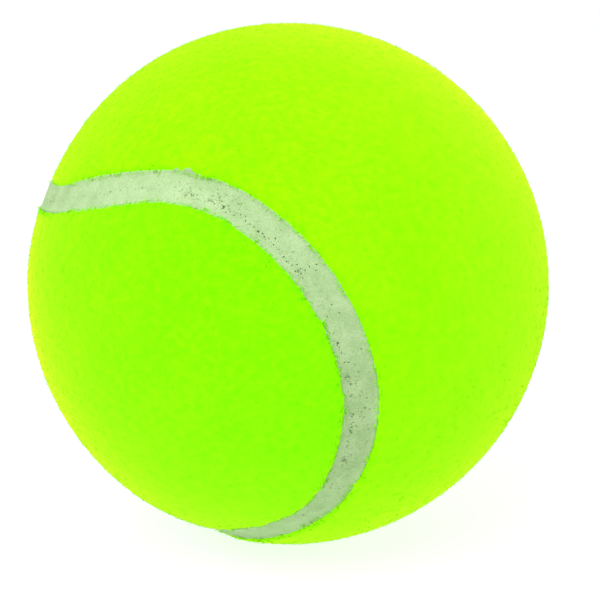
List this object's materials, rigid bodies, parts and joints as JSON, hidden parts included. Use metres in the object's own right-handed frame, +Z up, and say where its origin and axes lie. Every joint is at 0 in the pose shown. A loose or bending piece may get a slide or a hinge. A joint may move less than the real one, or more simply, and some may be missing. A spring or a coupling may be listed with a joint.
{
  "type": "tennis ball",
  "caption": "Hollow rubber ball covered with interlocking dumbbell-shaped panels of napped lime-green felt, joined along one sunken pale rubber seam; bounces and is hit with a racket.",
  "frame": {"origin": "the middle of the ball", "axes": "+Z up, with the ball lying as pictured: seen from -Y, a little above the level, the seam sweeps from the left edge over the upper middle to the bottom edge"},
  "size_m": [0.067, 0.067, 0.067],
  "materials": {
    "felt": "napped wool and nylon felt, lime green",
    "seam_rubber": "vulcanised seam cement, pale grey-green, matte",
    "backing_rubber": "vulcanised coat on the back of the felt, cream, matte",
    "cement": "vulcanised rubber cement, tan, matte",
    "core_rubber": "moulded filled natural rubber, near black, matte"
  },
  "bodies": {
    "root": {"felt_panel_front": "felt", "felt_panel_back": "felt", "seam_strip": "seam_rubber", "felt_backing_front": "backing_rubber", "felt_backing_back": "backing_rubber", "core_cement_coat": "cement", "core_half_upper": "core_rubber", "core_half_lower": "core_rubber", "core_joint_cement": "cement"}
  },
  "joints": []
}
